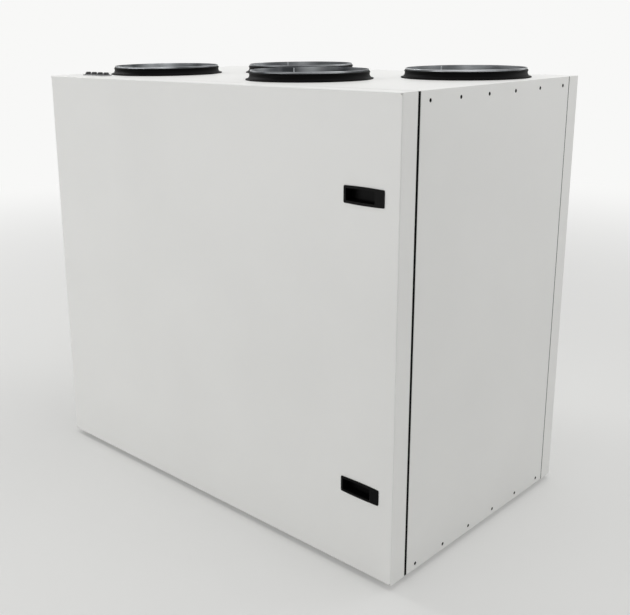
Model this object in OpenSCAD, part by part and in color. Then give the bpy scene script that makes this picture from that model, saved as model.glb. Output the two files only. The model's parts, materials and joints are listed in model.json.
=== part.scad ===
// Upright air handling unit: a white insulated steel cabinet with a full-width service door,
// four round duct spigots in a zigzag on the roof, and the service side that shows with the door open.
// Millimetres. Z is up, the door faces -Y and the floor is at Z = 0.

/* [Cabinet] */
// Width of the cabinet and of its door
cabinet_width = 1045; // [950:5:1250]
// Depth from the door face to the back
cabinet_depth = 622; // [560:2:760]
// Height of the cabinet without feet and spigots
cabinet_height = 925; // [830:5:1100]
// Thickness of the insulated walls
wall = 45; // [40:1:50]
// Thickness of the insulated back panel
back_wall = 39; // [34:1:45]
// Outer sheet of a side panel where it laps over the roof and the base
lap_sheet = 1.5; // [1.2:0.1:2]
// Bend radius of the panels' folded edges
panel_bend = 2; // [1.5:0.1:3]
// Width of the open seam between a side panel and the back panel
seam = 1.5; // [1:0.1:2]
// Depth of that seam
seam_depth = 5; // [3:0.5:8]
// Free play between pieces that fit into one another
fit = 0.3; // [0.2:0.05:0.5]

/* [Screws] */
// Number of screws in a row on a side
screw_count = 6; // [4:1:8]
// Number of screws in a row on the back
back_screw_count = 11; // [7:1:13]
// Radius of the holes that the screw heads sit in
screw_hole = 3; // [2.5:0.25:4]
// Distance of a side's first screw from the panel's front edge
screw_front = 28.7; // [20:0.1:60]
// Distance of a side's last screw from the back panel
screw_rear = 27.5; // [20:0.1:60]
// Distance of the back's outer screws from the cabinet's sides
screw_side = 28.7; // [20:0.1:60]
// Distance of the upper row from the cabinet's top
screw_drop = 17.4; // [12:0.1:30]
// Distance of the lower row from the cabinet's bottom
screw_rise = 12.2; // [10:0.1:30]

/* [Feet] */
// Height of the rubber feet
foot_height = 12; // [10:1:25]
// Radius of the rubber feet
foot_radius = 22; // [18:1:30]
// Bevel round the bottom of a foot
foot_bevel = 2; // [1:0.5:4]
// Distance of a foot's centre from the cabinet's edges
foot_inset = 70; // [60:1:110]

/* [Door] */
// Thickness of the insulated door
door_thickness = 45; // [40:1:52]
// Gap between the door and the cabinet
door_gap = 6; // [5.5:0.1:9]
// Bend radius of the door's folded edges
door_bend = 2.5; // [2:0.1:4]
// Radius of the relief holes where the folds meet
relief_radius = 1.4; // [1:0.1:2]
// Depth of the relief holes
relief_depth = 4; // [3:0.5:8]
// Thickness of the door's inner sheet
liner_sheet = 1.5; // [1:0.1:2]
// Distance of the inner sheet from the door's edges
liner_inset = 4; // [3:0.5:8]
// Distance of the gasket from the cabinet's edges
gasket_inset = 3; // [3:0.5:16]
// Width of the gasket
gasket_width = 16; // [12:1:20]
// Free play between the gasket and the closed door
gasket_play = 0.5; // [0.3:0.1:1]

/* [Handles] */
// Length of a handle
handle_length = 91; // [80:1:110]
// Height of a handle at its middle
handle_height = 33.6; // [30:0.2:40]
// Bow of the long edges
handle_bow = 1; // [0.6:0.1:2]
// Corner radius of a handle
handle_corner = 4; // [3:0.5:6]
// Height of the bezel above the door face
handle_proud = 1.5; // [1.2:0.1:4]
// Width of the bezel round the finger pocket
handle_rim = 5; // [4:0.5:6]
// Depth of the finger pocket below the door face
pocket_depth = 18; // [14:0.5:24]
// Wall of the finger pocket
pocket_wall = 2.5; // [2:0.1:3]
// Corner radius of the finger pocket
pocket_corner = 1.5; // [1:0.5:4]
// Length of the lip that the fingers grip
grip_lip = 16; // [10:1:24]
// Depth of that lip below the door face
grip_lip_depth = 2.5; // [2:0.1:4]
// Distance from the door's free edge to the handle
handle_edge = 32.5; // [25:0.5:60]
// Distance from the door's top to the upper handle's middle
upper_handle_drop = 182; // [140:1:260]
// Distance from the door's bottom to the lower handle's middle
lower_handle_rise = 173.5; // [140:0.5:260]

/* [Hinges] */
// Length of a hinge
hinge_length = 80; // [60:2:110]
// Distance of the hinge axis from the cabinet's side
hinge_offset = 6.5; // [6.5:0.1:9]
// Radius of the hinge knuckles
knuckle_radius = 6; // [5.5:0.1:6]
// Gap between the two knuckles of a hinge
knuckle_gap = 1; // [0.6:0.1:2]
// Space that a leaf leaves round the other leaf's knuckle
knuckle_relief = 1; // [0.8:0.1:2]
// Radius of the hinge pin
pin_radius = 3; // [2.5:0.1:3.5]
// Free play of the pin in its knuckle
pin_play = 0.2; // [0.1:0.05:0.3]
// Distance of the pin's end below the knuckle's end
pin_end = 2; // [1:0.5:6]
// Width of a hinge leaf
leaf_width = 34; // [26:1:36]
// Thickness of a hinge leaf
leaf_thickness = 3; // [2.5:0.1:3.5]
// Corner radius of a hinge leaf
leaf_corner = 4; // [2:0.5:8]
// Gap between the two leaves of a hinge
leaf_gap = 2; // [1:0.5:4]

/* [Spigots] */
// Outer radius of a duct collar
collar_radius = 124.5; // [99.5:0.5:139.5]
// Wall of a duct collar
collar_wall = 1.5; // [1.2:0.1:2]
// Height of a collar above the roof
spigot_height = 20; // [18:1:60]
// Radius of the rolled bead at a collar's rim
rim_bead = 1; // [0.6:0.1:1]
// Bare collar left above the rubber seal
rim_height = 3.5; // [2:0.5:6]
// Width of the rubber seal's flange round the collar
seal_flange_width = 10.5; // [7:0.5:12]
// Thickness of the rubber seal's flange
seal_flange = 2; // [1.5:0.5:4]
// Wall of the rubber seal
seal_wall = 2; // [1.5:0.1:3]
// Radius of the cove between the seal's wall and its flange
seal_cove = 8; // [6:0.5:10]
// Radius of the sealing lip
seal_lip = 1.2; // [0.8:0.1:1.6]
// Distance of the rear collars from the back panel
spigot_back_gap = 5.5; // [4:0.5:12]
// Distance of the outer collars from the side walls
spigot_side_gap = 0.5; // [0.5:0.5:8]

/* [Cable entry] */
// Number of cable grommets
grommet_count = 4; // [2:1:5]
// Distance between the grommets
grommet_pitch = 24; // [22:0.5:26]
// Radius of a grommet
grommet_radius = 6.5; // [6.5:0.5:10.5]
// Height of a grommet above the roof
grommet_height = 8; // [6:0.5:12]
// Width of a grommet's raised rim
grommet_rim = 5; // [3:0.5:6]
// Bevel of that rim, which is also the depth of the dished top
grommet_bevel = 1.5; // [1:0.1:2]
// Thickness of the strip that joins the grommets
grommet_strip = 1.5; // [1:0.1:2]
// Width of the strip that joins the grommets
grommet_strip_width = 16; // [12:1:16]
// Thickness of the plate under the grommets
cable_plate_sheet = 2; // [1.5:0.1:3]
// Margin of that plate round the grommets
cable_margin = 4; // [3:0.5:6]
// Distance of the plate from the roof's front edge
cable_front = 2; // [2:0.5:3]
// Distance between the plate and the front seals
cable_seal_gap = 13; // [6:0.5:20]
// Distance of the cable entry's middle from the cabinet's left side
cable_edge = 101.5; // [90:0.5:140]

/* [Inside] */
// Distance of the foam core's face from the cabinet's front edge
core_setback = 25; // [22:1:40]
// Height of the upper foam block, which holds the duct shafts
upper_core_height = 190; // [150:5:200]
// Foam step between a collar and its shaft
shaft_step = 2; // [1:0.5:4]
// Half width of the exchanger's hexagon
exchanger_half = 190; // [150:5:200]
// Foam above and below the exchanger
exchanger_foam = 32.5; // [25:0.5:60]
// Depth of the heat exchanger
exchanger_depth = 420; // [360:10:430]
// Sheet of the exchanger's end plate
end_plate_sheet = 2; // [1.5:0.1:3]
// Lap of the end plate over the foam
end_plate_lap = 10; // [6:1:16]
// Border round the end plate's pressed middle
end_plate_border = 24; // [16:1:40]
// Height of the end plate's pressed middle
end_plate_press = 3; // [2:0.5:6]
// Length of the exchanger's strap
strap_length = 190; // [120:5:200]
// Width of the exchanger's strap
strap_width = 30; // [25:1:40]
// Thickness of the exchanger's strap
strap_thickness = 3; // [2:0.1:4]
// Corner radius of the exchanger's strap
strap_corner = 6; // [3:0.5:10]
// Width of a filter cassette
filter_width = 60; // [46:1:80]
// Depth of a filter cassette
filter_depth = 400; // [340:10:430]
// Foam above a filter
filter_foam = 40; // [30:1:60]
// Foam between a filter and the fan cover below it
filter_gap = 70; // [40:1:90]
// Height of a filter's pull tab
tab_height = 44; // [30:1:60]
// Thickness of a filter's pull tab
tab_thickness = 3.2; // [2.4:0.1:4]
// Corner radius of a filter's pull tab
tab_corner = 1.1; // [0.6:0.1:1.1]
// Reach of a filter's pull tab
tab_reach = 10; // [8:0.5:14]
// Radius of a fan cover
fan_cover_radius = 105; // [80:1:110]
// Height of a fan cover at its pressed middle
fan_cover_height = 9; // [6:0.5:12]
// Thickness of a fan cover's flange
fan_flange = 4; // [3.5:0.5:5]
// Width of a fan cover's flange
fan_flange_width = 16; // [12:1:24]
// Depth of a fan cover's seat in the foam
fan_seat = 3; // [2:0.5:3.5]
// Foam between a fan cover and the side wall
fan_side_foam = 38; // [25:1:50]
// Foam between a fan cover and the floor
fan_floor_foam = 35; // [25:1:50]
// Width of the control box
control_width = 420; // [300:10:460]
// Height of the control box
control_height = 130; // [100:5:140]
// Depth of the control box's cover in front of the foam
control_depth = 12; // [8:1:15]
// Thickness of the control box's flange
control_flange = 3; // [2:0.5:5]
// Width of the control box's flange
control_border = 12; // [8:1:20]
// Corner radius of the control box
control_corner = 4; // [3:0.5:6]

/* [Hidden] */
$fn = 96;
// How far cutting shapes reach past a face, and joined shapes into one another
cut = 1;
front_y = -cabinet_depth / 2;
rear_y = cabinet_depth / 2;
side_x = cabinet_width / 2;
door_back = front_y + door_thickness;
shell_front = door_back + door_gap;
back_face = rear_y - back_wall;
shell_bottom = foot_height;
shell_top = foot_height + cabinet_height;
floor_top = shell_bottom + wall;
roof_under = shell_top - wall;
inner_x = side_x - wall;

screw_heights = [shell_bottom + screw_rise, shell_top - screw_drop];
screw_first_y = shell_front + screw_front;
screw_pitch = (back_face - screw_rear - screw_first_y) / (screw_count - 1);
back_screw_x = side_x - screw_side;
back_screw_pitch = 2 * back_screw_x / (back_screw_count - 1);

handle_x = side_x - handle_edge - handle_length / 2;
upper_handle_z = shell_top - upper_handle_drop;
lower_handle_z = shell_bottom + lower_handle_rise;

hinge_x = -side_x - hinge_offset;
hinge_y = (door_back + shell_front) / 2;
upper_hinge_z = upper_handle_z;
lower_hinge_z = lower_handle_z;

gasket_x = side_x - gasket_inset;
gasket_low = shell_bottom + gasket_inset;
gasket_high = shell_top - gasket_inset;

collar_bore = collar_radius - collar_wall;
spigot_top = shell_top + spigot_height;
seal_flange_radius = collar_radius + seal_flange_width;
cable_depth = 2 * (grommet_radius + cable_margin);
cable_x = -side_x + cable_edge;
cable_y = shell_front + cable_front + cable_depth / 2;
grommet_span = (grommet_count - 1) * grommet_pitch + 2 * grommet_radius;
front_row = cable_y + cable_depth / 2 + cable_seal_gap + seal_flange_radius;
rear_row = back_face - spigot_back_gap - collar_radius;
spigot_outer_x = inner_x - spigot_side_gap - collar_radius;
spigot_inner_x = spigot_outer_x / 3;
// Middles of the spigots: front left, rear left, front right, rear right
spigot_places = [
    [-spigot_outer_x, front_row],
    [-spigot_inner_x, rear_row],
    [spigot_inner_x, front_row],
    [spigot_outer_x, rear_row]
];

core_front = shell_front + core_setback;
core_split = roof_under - upper_core_height;
shaft_radius = collar_bore - shaft_step;
exchanger_z = (floor_top + core_split) / 2;
// Half height of the hexagon's upright sides
exchanger_side = exchanger_z - floor_top - exchanger_foam - exchanger_half;
fan_x = inner_x - fan_side_foam - fan_cover_radius;
fan_z = floor_top + fan_floor_foam + fan_cover_radius;
filter_low = fan_z + fan_cover_radius + filter_gap;
filter_height = core_split - filter_foam - filter_low;
filter_z = filter_low + filter_height / 2;
filter_x = (exchanger_half + inner_x) / 2;

// A block between two corners
module block(low, high) {
    translate(low) cube(high - low);
}

// A rectangle between two corners
module flat(low, high) {
    translate(low) square(high - low);
}

// A rectangle about its middle, with round corners
module round_rectangle(size, r) {
    square([size[0] - 2 * r, size[1]], center = true);
    square([size[0], size[1] - 2 * r], center = true);
    for (sx = [-1, 1], sy = [-1, 1])
        translate([sx * (size[0] / 2 - r), sy * (size[1] / 2 - r)]) circle(r = r);
}

// Turns an outline in X and Y into a solid as high as the cabinet
module run_up() {
    translate([0, 0, shell_bottom]) linear_extrude(cabinet_height) children();
}

// Turns an outline in X and Z into a solid that runs back from a front plane
module run_back(front, depth) {
    translate([0, front + depth, 0]) rotate([90, 0, 0]) linear_extrude(depth) children();
}

// Turns an outline in Y and Z into a solid that runs across from left to right
module run_across(left, right) {
    translate([left, 0, 0]) rotate([90, 0, 90]) linear_extrude(right - left) children();
}

// What a bend takes off a square corner at the origin that points to +X and -Y
module bend_waste(r) {
    difference() {
        translate([-r, -cut]) square(r + cut);
        translate([-r, r]) circle(r = r);
    }
}

// A round hole below every spigot
module spigot_holes(r, low, high) {
    for (p = spigot_places)
        translate([p[0], p[1], low - cut]) cylinder(r = r, h = high - low + 2 * cut);
}

// The holes in the right side's outer sheet, one row over the base and one over the roof
module side_screw_holes() {
    run_across(side_x - lap_sheet - cut, side_x + cut)
        for (i = [0 : screw_count - 1], z = screw_heights)
            translate([screw_first_y + i * screw_pitch, z]) circle(r = screw_hole);
}

// The holes in the back panel's outer sheet
module back_screw_holes() {
    run_back(rear_y - lap_sheet, lap_sheet + cut)
        for (i = [0 : back_screw_count - 1], z = screw_heights)
            translate([i * back_screw_pitch - back_screw_x, z]) circle(r = screw_hole);
}

// The right side panel: insulated between base and roof, with an outer sheet that laps over both
// and is screwed to them, a bent front edge, and a rebate along the back that leaves the seam open
module side_panel() {
    difference() {
        intersection() {
            run_up() difference() {
                flat([inner_x, shell_front], [side_x, back_face]);
                translate([side_x, shell_front]) bend_waste(panel_bend);
                flat([side_x - seam_depth, back_face - seam], [side_x + cut, back_face + cut]);
            }
            union() {
                block([inner_x, shell_front, floor_top], [side_x, back_face, roof_under]);
                block([side_x - lap_sheet, shell_front, shell_bottom], [side_x, back_face, shell_top]);
            }
        }
        side_screw_holes();
    }
}

module left_panel() {
    color("whitesmoke") mirror([1, 0, 0]) side_panel();
}

module right_panel() {
    color("whitesmoke") side_panel();
}

module base_panel() {
    color("whitesmoke") run_across(lap_sheet - side_x, side_x - lap_sheet)
        flat([shell_front, shell_bottom], [back_face, floor_top]);
}

// The roof, bent at its front edge, with a hole for every collar
module roof_panel() {
    color("white") difference() {
        run_across(lap_sheet - side_x, side_x - lap_sheet) difference() {
            flat([shell_front, roof_under], [back_face, shell_top]);
            translate([shell_front, shell_top]) rotate(180) bend_waste(panel_bend);
        }
        spigot_holes(collar_radius + fit, roof_under, shell_top);
    }
}

// The back panel, bent at its upright edges and at its top, with holes for the screws that hold it
module back_panel() {
    color("whitesmoke") difference() {
        intersection() {
            run_up() difference() {
                flat([-side_x, back_face], [side_x, rear_y]);
                translate([side_x, rear_y]) mirror([0, 1]) bend_waste(panel_bend);
                translate([-side_x, rear_y]) rotate(180) bend_waste(panel_bend);
            }
            run_across(-side_x, side_x) difference() {
                flat([back_face, shell_bottom], [rear_y, shell_top]);
                translate([rear_y, shell_top]) mirror([0, 1]) bend_waste(panel_bend);
            }
        }
        back_screw_holes();
    }
}

// A rubber foot under the base, on the left or right and at the front or rear
module foot(sx, y) {
    color("dimgray") translate([sx * (side_x - foot_inset), y, 0]) rotate_extrude()
        polygon([
            [0, 0],
            [foot_radius - foot_bevel, 0],
            [foot_radius, foot_bevel],
            [foot_radius, foot_height],
            [0, foot_height]
        ]);
}

module front_left_foot() {
    foot(-1, shell_front + foot_inset);
}

module front_right_foot() {
    foot(1, shell_front + foot_inset);
}

module rear_left_foot() {
    foot(-1, rear_y - foot_inset);
}

module rear_right_foot() {
    foot(1, rear_y - foot_inset);
}

// A sheet collar through the roof panel, with a rolled bead round its rim
module collar(p) {
    color("silver") translate([p[0], p[1], 0]) rotate_extrude() {
        flat([collar_bore, roof_under], [collar_radius, spigot_top - rim_bead]);
        flat([collar_bore, roof_under], [collar_bore + rim_bead, spigot_top]);
        translate([collar_radius, spigot_top - rim_bead]) circle(r = rim_bead, $fn = 32);
    }
}

module front_left_collar() {
    collar(spigot_places[0]);
}

module rear_left_collar() {
    collar(spigot_places[1]);
}

module front_right_collar() {
    collar(spigot_places[2]);
}

module rear_right_collar() {
    collar(spigot_places[3]);
}

// A rubber seal round a collar: a wall with a lip, and a coved skirt that ends in a flange on the roof
module seal(p) {
    inner = collar_radius + fit;
    outer = inner + seal_wall;
    top = spigot_height - rim_height;
    color("black") translate([p[0], p[1], shell_top]) rotate_extrude() {
        flat([inner, 0], [outer, top]);
        translate([outer, top - 2 * seal_lip]) circle(r = seal_lip, $fn = 32);
        difference() {
            flat([inner, 0], [seal_flange_radius, seal_flange + seal_cove]);
            translate([outer + seal_cove, seal_flange + seal_cove]) circle(r = seal_cove);
            flat([outer + seal_cove, seal_flange], [seal_flange_radius + seal_cove, top]);
        }
    }
}

module front_left_seal() {
    seal(spigot_places[0]);
}

module rear_left_seal() {
    seal(spigot_places[1]);
}

module front_right_seal() {
    seal(spigot_places[2]);
}

module rear_right_seal() {
    seal(spigot_places[3]);
}

module cable_plate() {
    color("gainsboro") translate([cable_x, cable_y, shell_top]) linear_extrude(cable_plate_sheet)
        round_rectangle([grommet_span + 2 * cable_margin, cable_depth], cable_margin);
}

// Blind rubber grommets on one strip, each with a dished top
module cable_grommets() {
    top = grommet_height - cable_plate_sheet;
    color("black") translate([cable_x, cable_y, shell_top + cable_plate_sheet]) {
        linear_extrude(grommet_strip) round_rectangle([grommet_span, grommet_strip_width], cable_margin);
        for (i = [0 : grommet_count - 1])
            translate([(i - (grommet_count - 1) / 2) * grommet_pitch, 0, 0]) rotate_extrude()
                polygon([
                    [0, 0],
                    [grommet_radius, 0],
                    [grommet_radius, top - grommet_bevel],
                    [grommet_radius - grommet_bevel, top],
                    [grommet_radius - grommet_rim + grommet_bevel, top],
                    [grommet_radius - grommet_rim, top - grommet_bevel],
                    [0, top - grommet_bevel]
                ]);
    }
}

// One straight foam strip on the cabinet's front edges
module gasket_strip(low_x, low_z, high_x, high_z) {
    color("black") block([low_x, door_back + gasket_play, low_z], [high_x, shell_front, high_z]);
}

module left_gasket() {
    gasket_strip(-gasket_x, gasket_low, gasket_width - gasket_x, gasket_high);
}

module right_gasket() {
    gasket_strip(gasket_x - gasket_width, gasket_low, gasket_x, gasket_high);
}

module top_gasket() {
    gasket_strip(gasket_width - gasket_x, gasket_high - gasket_width, gasket_x - gasket_width, gasket_high);
}

module bottom_gasket() {
    gasket_strip(gasket_width - gasket_x, gasket_low, gasket_x - gasket_width, gasket_low + gasket_width);
}

// The exchanger's hexagon, with every side moved out by a distance
module exchanger_outline(grow) {
    a = exchanger_half + grow;
    b = exchanger_side + grow * tan(22.5);
    polygon([[a, -b], [a, b], [0, a + b], [-a, b], [-a, -b], [0, -a - b]]);
}

// The lower foam block, with seats for the exchanger, the filters and the fan covers
module lower_core() {
    filter_seat = [filter_width + 2 * fit, filter_height + 2 * fit];
    color("dimgray") difference() {
        block([-inner_x, core_front, floor_top], [inner_x, back_face, core_split]);
        translate([0, 0, exchanger_z])
            run_back(core_front - cut, exchanger_depth + cut) exchanger_outline(fit);
        for (sx = [-1, 1]) {
            translate([sx * filter_x, 0, filter_z])
                run_back(core_front - cut, filter_depth + cut) square(filter_seat, center = true);
            translate([sx * fan_x, 0, fan_z])
                run_back(core_front - cut, fan_seat + cut) circle(r = fan_cover_radius + fit);
        }
    }
}

// The upper foam block, with a round shaft under each collar
module upper_core() {
    color("dimgray") difference() {
        block([-inner_x, core_front, core_split], [inner_x, back_face, roof_under]);
        spigot_holes(shaft_radius, core_split, roof_under);
    }
}

module heat_exchanger() {
    color("silver") translate([0, 0, exchanger_z])
        run_back(core_front, exchanger_depth) exchanger_outline(0);
}

// The exchanger's end plate, pressed out inside its border
module exchanger_end_plate() {
    pressed = end_plate_sheet + end_plate_press;
    color("lightgray") translate([0, 0, exchanger_z]) {
        run_back(core_front - end_plate_sheet, end_plate_sheet) exchanger_outline(end_plate_lap);
        run_back(core_front - pressed, pressed) exchanger_outline(end_plate_lap - end_plate_border);
    }
}

module exchanger_strap() {
    color("black") translate([0, 0, exchanger_z])
        run_back(core_front - end_plate_sheet - end_plate_press - strap_thickness, strap_thickness)
            round_rectangle([strap_width, strap_length], strap_corner);
}

// A filter cassette with its pull tab
module filter(sx) {
    color("beige") translate([sx * filter_x, 0, filter_z]) {
        run_back(core_front, filter_depth) square([filter_width, filter_height], center = true);
        run_back(core_front - tab_reach, tab_reach + cut)
            round_rectangle([tab_thickness, tab_height], tab_corner);
    }
}

module left_filter() {
    filter(-1);
}

module right_filter() {
    filter(1);
}

// A round fan cover in its seat: a flange and a middle pressed out at 45 degrees
module fan_cover(sx) {
    press_foot = fan_cover_radius - fan_flange_width;
    color("lightgray") translate([sx * fan_x, core_front + fan_seat, fan_z]) rotate([90, 0, 0])
        rotate_extrude() polygon([
            [0, 0],
            [fan_cover_radius, 0],
            [fan_cover_radius, fan_flange],
            [press_foot, fan_flange],
            [press_foot + fan_flange - fan_cover_height, fan_cover_height],
            [0, fan_cover_height]
        ]);
}

module left_fan_cover() {
    fan_cover(-1);
}

module right_fan_cover() {
    fan_cover(1);
}

// The control box: a flange on the foam and a raised cover
module control_box() {
    cover = [control_width - 2 * control_border, control_height - 2 * control_border];
    color("lightgray") translate([0, 0, core_split + upper_core_height / 2]) {
        run_back(core_front - control_flange, control_flange)
            round_rectangle([control_width, control_height], control_corner);
        run_back(core_front - control_depth, control_depth) round_rectangle(cover, control_corner);
    }
}

// A round bar on the hinge axis between two heights
module hinge_round(r, low, high) {
    translate([hinge_x, hinge_y, low]) cylinder(r = r, h = high - low);
}

// A leaf's plate on the cabinet's left side, from its free end to the hinge, with two round corners
module leaf_plate(free_y, hinge_end_y, low, high) {
    toward = free_y > hinge_end_y ? 0 : 1;
    run_across(-side_x - leaf_thickness, -side_x) difference() {
        flat([min(free_y, hinge_end_y), low], [max(free_y, hinge_end_y), high]);
        translate([free_y, low]) mirror([toward, 0]) bend_waste(leaf_corner);
        translate([free_y, high]) mirror([toward, 0]) mirror([0, 1]) bend_waste(leaf_corner);
    }
}

// The cabinet's leaf: a plate on the side panel, the lower knuckle and the pin
module fixed_leaf(z) {
    low = z - hinge_length / 2;
    high = z + hinge_length / 2;
    color("black") {
        difference() {
            leaf_plate(shell_front + leaf_width, hinge_y + leaf_gap / 2, low, high);
            hinge_round(knuckle_radius + knuckle_relief, z - knuckle_gap / 2, high + cut);
        }
        hinge_round(knuckle_radius, low, z - knuckle_gap / 2);
        hinge_round(pin_radius, z - knuckle_gap / 2 - cut, high - pin_end);
    }
}

// The door's leaf: a plate on the door's edge and the upper knuckle, bored for the pin
module moving_leaf(z) {
    low = z - hinge_length / 2;
    high = z + hinge_length / 2;
    color("black") difference() {
        union() {
            difference() {
                leaf_plate(door_back - leaf_width, hinge_y - leaf_gap / 2, low, high);
                hinge_round(knuckle_radius + knuckle_relief, low - cut, z + knuckle_gap / 2);
            }
            hinge_round(knuckle_radius, z + knuckle_gap / 2, high);
        }
        hinge_round(pin_radius + pin_play, z, high + cut);
    }
}

module upper_hinge_leaf() {
    fixed_leaf(upper_hinge_z);
}

module lower_hinge_leaf() {
    fixed_leaf(lower_hinge_z);
}

module upper_door_leaf() {
    moving_leaf(upper_hinge_z);
}

module lower_door_leaf() {
    moving_leaf(lower_hinge_z);
}

// The outline of a handle, inset by a distance; its long edges are arcs that fall by the bow at the ends
module handle_outline(inset) {
    size = [handle_length - 2 * inset, handle_height - 2 * inset];
    bow_radius = handle_length * handle_length / (8 * handle_bow) + handle_bow / 2 - inset;
    intersection() {
        round_rectangle(size, max(handle_corner - inset, pocket_corner));
        translate([0, size[1] / 2 - bow_radius]) circle(r = bow_radius, $fn = 360);
        translate([0, bow_radius - size[1] / 2]) circle(r = bow_radius, $fn = 360);
    }
}

// The door's outer pan: bent on all four edges, relieved at the corners and let in for the handles
module door_panel() {
    pan_back = door_back - liner_sheet;
    corner_x = side_x - door_bend;
    color("whitesmoke") difference() {
        intersection() {
            run_up() difference() {
                flat([-side_x, front_y], [side_x, pan_back]);
                translate([side_x, front_y]) bend_waste(door_bend);
                translate([-side_x, front_y]) mirror([1, 0]) bend_waste(door_bend);
            }
            run_across(-side_x, side_x) difference() {
                flat([front_y, shell_bottom], [pan_back, shell_top]);
                translate([front_y, shell_top]) rotate(180) bend_waste(door_bend);
                translate([front_y, shell_bottom]) mirror([1, 0]) bend_waste(door_bend);
            }
        }
        for (x = [-corner_x, corner_x], z = [shell_bottom + door_bend, shell_top - door_bend])
            translate([x, 0, z])
                run_back(front_y - cut, relief_depth + cut) circle(r = relief_radius, $fn = 32);
        for (z = [upper_handle_z, lower_handle_z])
            translate([handle_x, 0, z])
                run_back(front_y - cut, pocket_depth + pocket_wall + fit + cut)
                    handle_outline(handle_rim - pocket_wall - fit);
    }
}

module door_liner() {
    edge_x = side_x - liner_inset;
    color("silver") run_back(door_back - liner_sheet, liner_sheet)
        flat([-edge_x, shell_bottom + liner_inset], [edge_x, shell_top - liner_inset]);
}

// A flush pull: a bezel on the door face, a finger pocket let into the door, and a lip to grip
module pull(z) {
    mouth_end = handle_length / 2 - handle_rim - grip_lip;
    color("black") translate([handle_x, 0, z]) difference() {
        union() {
            run_back(front_y - handle_proud, handle_proud) handle_outline(0);
            run_back(front_y - cut, pocket_depth + pocket_wall + cut)
                handle_outline(handle_rim - pocket_wall);
        }
        run_back(front_y + grip_lip_depth, pocket_depth - grip_lip_depth) handle_outline(handle_rim);
        run_back(front_y - handle_proud - cut, handle_proud + pocket_depth + cut) intersection() {
            handle_outline(handle_rim);
            flat([-handle_length, -handle_height], [mouth_end, handle_height]);
        }
    }
}

module upper_handle() {
    pull(upper_handle_z);
}

module lower_handle() {
    pull(lower_handle_z);
}

base_panel();
left_panel();
right_panel();
back_panel();
roof_panel();
front_left_foot();
front_right_foot();
rear_left_foot();
rear_right_foot();
front_left_collar();
rear_left_collar();
front_right_collar();
rear_right_collar();
front_left_seal();
rear_left_seal();
front_right_seal();
rear_right_seal();
cable_plate();
cable_grommets();
left_gasket();
right_gasket();
top_gasket();
bottom_gasket();
lower_core();
upper_core();
heat_exchanger();
exchanger_end_plate();
exchanger_strap();
left_filter();
right_filter();
left_fan_cover();
right_fan_cover();
control_box();
upper_hinge_leaf();
lower_hinge_leaf();
door_panel();
door_liner();
upper_handle();
lower_handle();
upper_door_leaf();
lower_door_leaf();
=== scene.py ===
"""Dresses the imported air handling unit, and sets up its studio, light and camera."""
import json
import logging
import math
from dataclasses import dataclass, field
from enum import Enum
from typing import ClassVar, Sequence

import bmesh
import bpy
from mathutils import Matrix, Vector


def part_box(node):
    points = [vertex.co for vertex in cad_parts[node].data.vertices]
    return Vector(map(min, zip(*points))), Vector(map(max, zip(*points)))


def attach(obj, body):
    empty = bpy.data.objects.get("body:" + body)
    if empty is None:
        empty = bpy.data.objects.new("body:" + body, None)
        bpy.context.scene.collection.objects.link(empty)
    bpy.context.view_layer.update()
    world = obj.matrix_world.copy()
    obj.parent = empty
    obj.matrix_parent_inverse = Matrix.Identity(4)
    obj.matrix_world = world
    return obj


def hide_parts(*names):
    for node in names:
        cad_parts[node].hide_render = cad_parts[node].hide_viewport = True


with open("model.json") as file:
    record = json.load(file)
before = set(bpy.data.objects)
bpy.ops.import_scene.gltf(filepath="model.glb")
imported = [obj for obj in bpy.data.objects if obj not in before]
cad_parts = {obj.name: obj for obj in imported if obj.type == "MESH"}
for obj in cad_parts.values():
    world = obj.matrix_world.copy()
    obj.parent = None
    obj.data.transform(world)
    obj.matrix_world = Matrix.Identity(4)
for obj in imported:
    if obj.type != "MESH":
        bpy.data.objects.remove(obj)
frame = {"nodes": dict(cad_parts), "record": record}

Tree = bpy.types.NodeTree
Socket = bpy.types.NodeSocket
Inputs = dict[int | str, object]
Form = bmesh.types.BMesh
Points = Sequence[tuple[float, float]]

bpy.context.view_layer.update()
LOG = logging.getLogger("air_handling_unit")
MM = 0.001
FORWARD = Vector((0.0, -1.0, 0.0))
BACKWARD = Vector((0.0, 1.0, 0.0))
LEFTWARD = Vector((-1.0, 0.0, 0.0))
RIGHTWARD = Vector((1.0, 0.0, 0.0))
UPWARD = Vector((0.0, 0.0, 1.0))
# Edges that turn by more than this are shaded as sharp
SHARP_DEG = 32.0
# Corners of a CAD node's triangles that lie closer than this are one
WELD_MM = 0.002
# The wave texture draws this many bands over a length of tau at a scale of 1
WAVE_BANDS = 20.0
SPIGOTS = ("front_left", "rear_left", "front_right", "rear_right")
# Each CAD node's material slot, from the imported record
NODE_SLOT = {part["node"]: part["material_slot"] for part in frame["record"]["subparts"]}


class Body(Enum):
    """The bodies that pieces ride on."""

    CABINET = "cabinet"
    DOOR = "door"


def linear(colour: str) -> tuple[float, float, float, float]:
    """Turns an sRGB hex colour into linear light.

    Args:
        colour: The colour as "#RRGGBB".

    Returns:
        Linear red, green and blue, with full alpha.
    """
    parts = [int(colour[i:i + 2], 16) / 255.0 for i in (1, 3, 5)]
    light = [p / 12.92 if p <= 0.04045 else ((p + 0.055) / 1.055) ** 2.4 for p in parts]
    return (light[0], light[1], light[2], 1.0)


def per_metre(size_mm: float) -> float:
    """Gives the texture scale at which one feature is as wide as the size."""
    return 1.0 / (size_mm * MM)


def wave_scale(pitch_mm: float) -> float:
    """Gives the wave texture's scale at which its bands repeat at the pitch."""
    return math.tau / WAVE_BANDS / (pitch_mm * MM)


def sweep(start_deg: float, end_deg: float, steps: int) -> list[float]:
    """Spaces angles evenly from the start to the end, in radians."""
    return [math.radians(start_deg + (end_deg - start_deg) * i / steps) for i in range(steps + 1)]


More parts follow.
